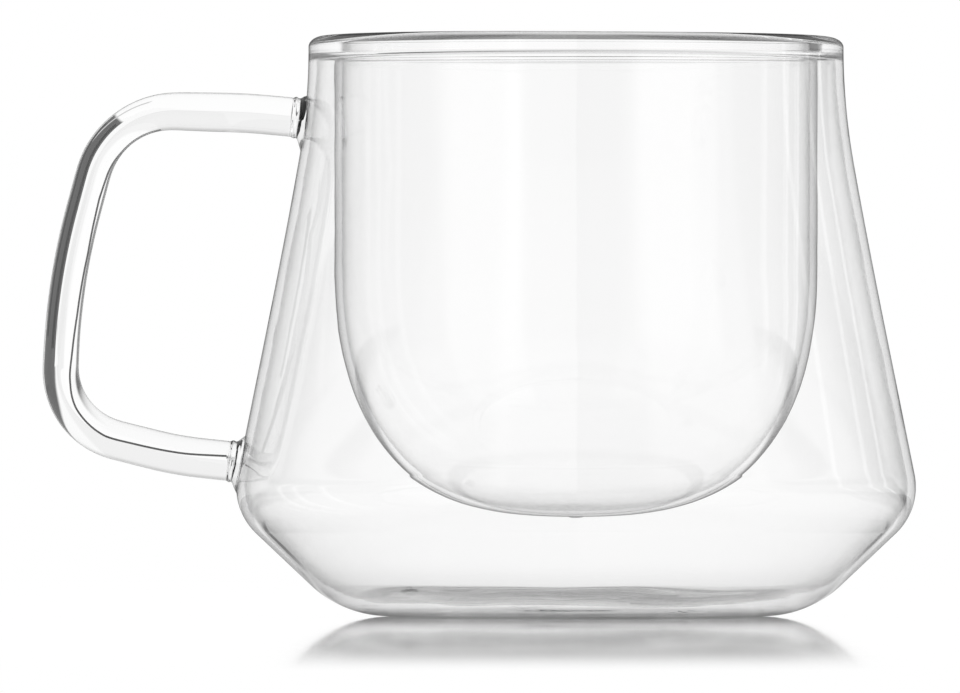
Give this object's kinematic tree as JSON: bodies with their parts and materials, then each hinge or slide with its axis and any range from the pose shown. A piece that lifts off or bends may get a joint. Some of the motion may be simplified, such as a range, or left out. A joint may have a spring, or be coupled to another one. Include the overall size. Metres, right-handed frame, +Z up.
{
  "type": "double walled glass cup",
  "caption": "Double walled clear glass cup: upright round bowl inside a flared outer shell with a low belly and flat base, and a bent solid glass rod handle.",
  "frame": {"origin": "centre of the flat base, on the surface that the cup stands on", "axes": "+Z up along the cup's axis, -X towards the handle, which lies in the plane Y = 0; the picture looks along +Y"},
  "size_m": [0.1308, 0.1016, 0.0868],
  "materials": {
    "outer_glass": "blown borosilicate, clear and polished, slightly wavy near the base",
    "inner_glass": "blown borosilicate, clear and polished",
    "seam_glass": "fire polished, rounded",
    "rod_glass": "drawn solid rod, flame bent, clear",
    "weld_glass": "melted joint, clear with slight ripples",
    "clear_silicone": "translucent, slightly matt"
  },
  "bodies": {
    "root": {"outer_wall": "outer_glass", "inner_bowl": "inner_glass", "rim_seam": "seam_glass", "handle_rod": "rod_glass", "upper_handle_weld": "weld_glass", "lower_handle_weld": "weld_glass", "vent_plug": "clear_silicone"}
  },
  "joints": []
}
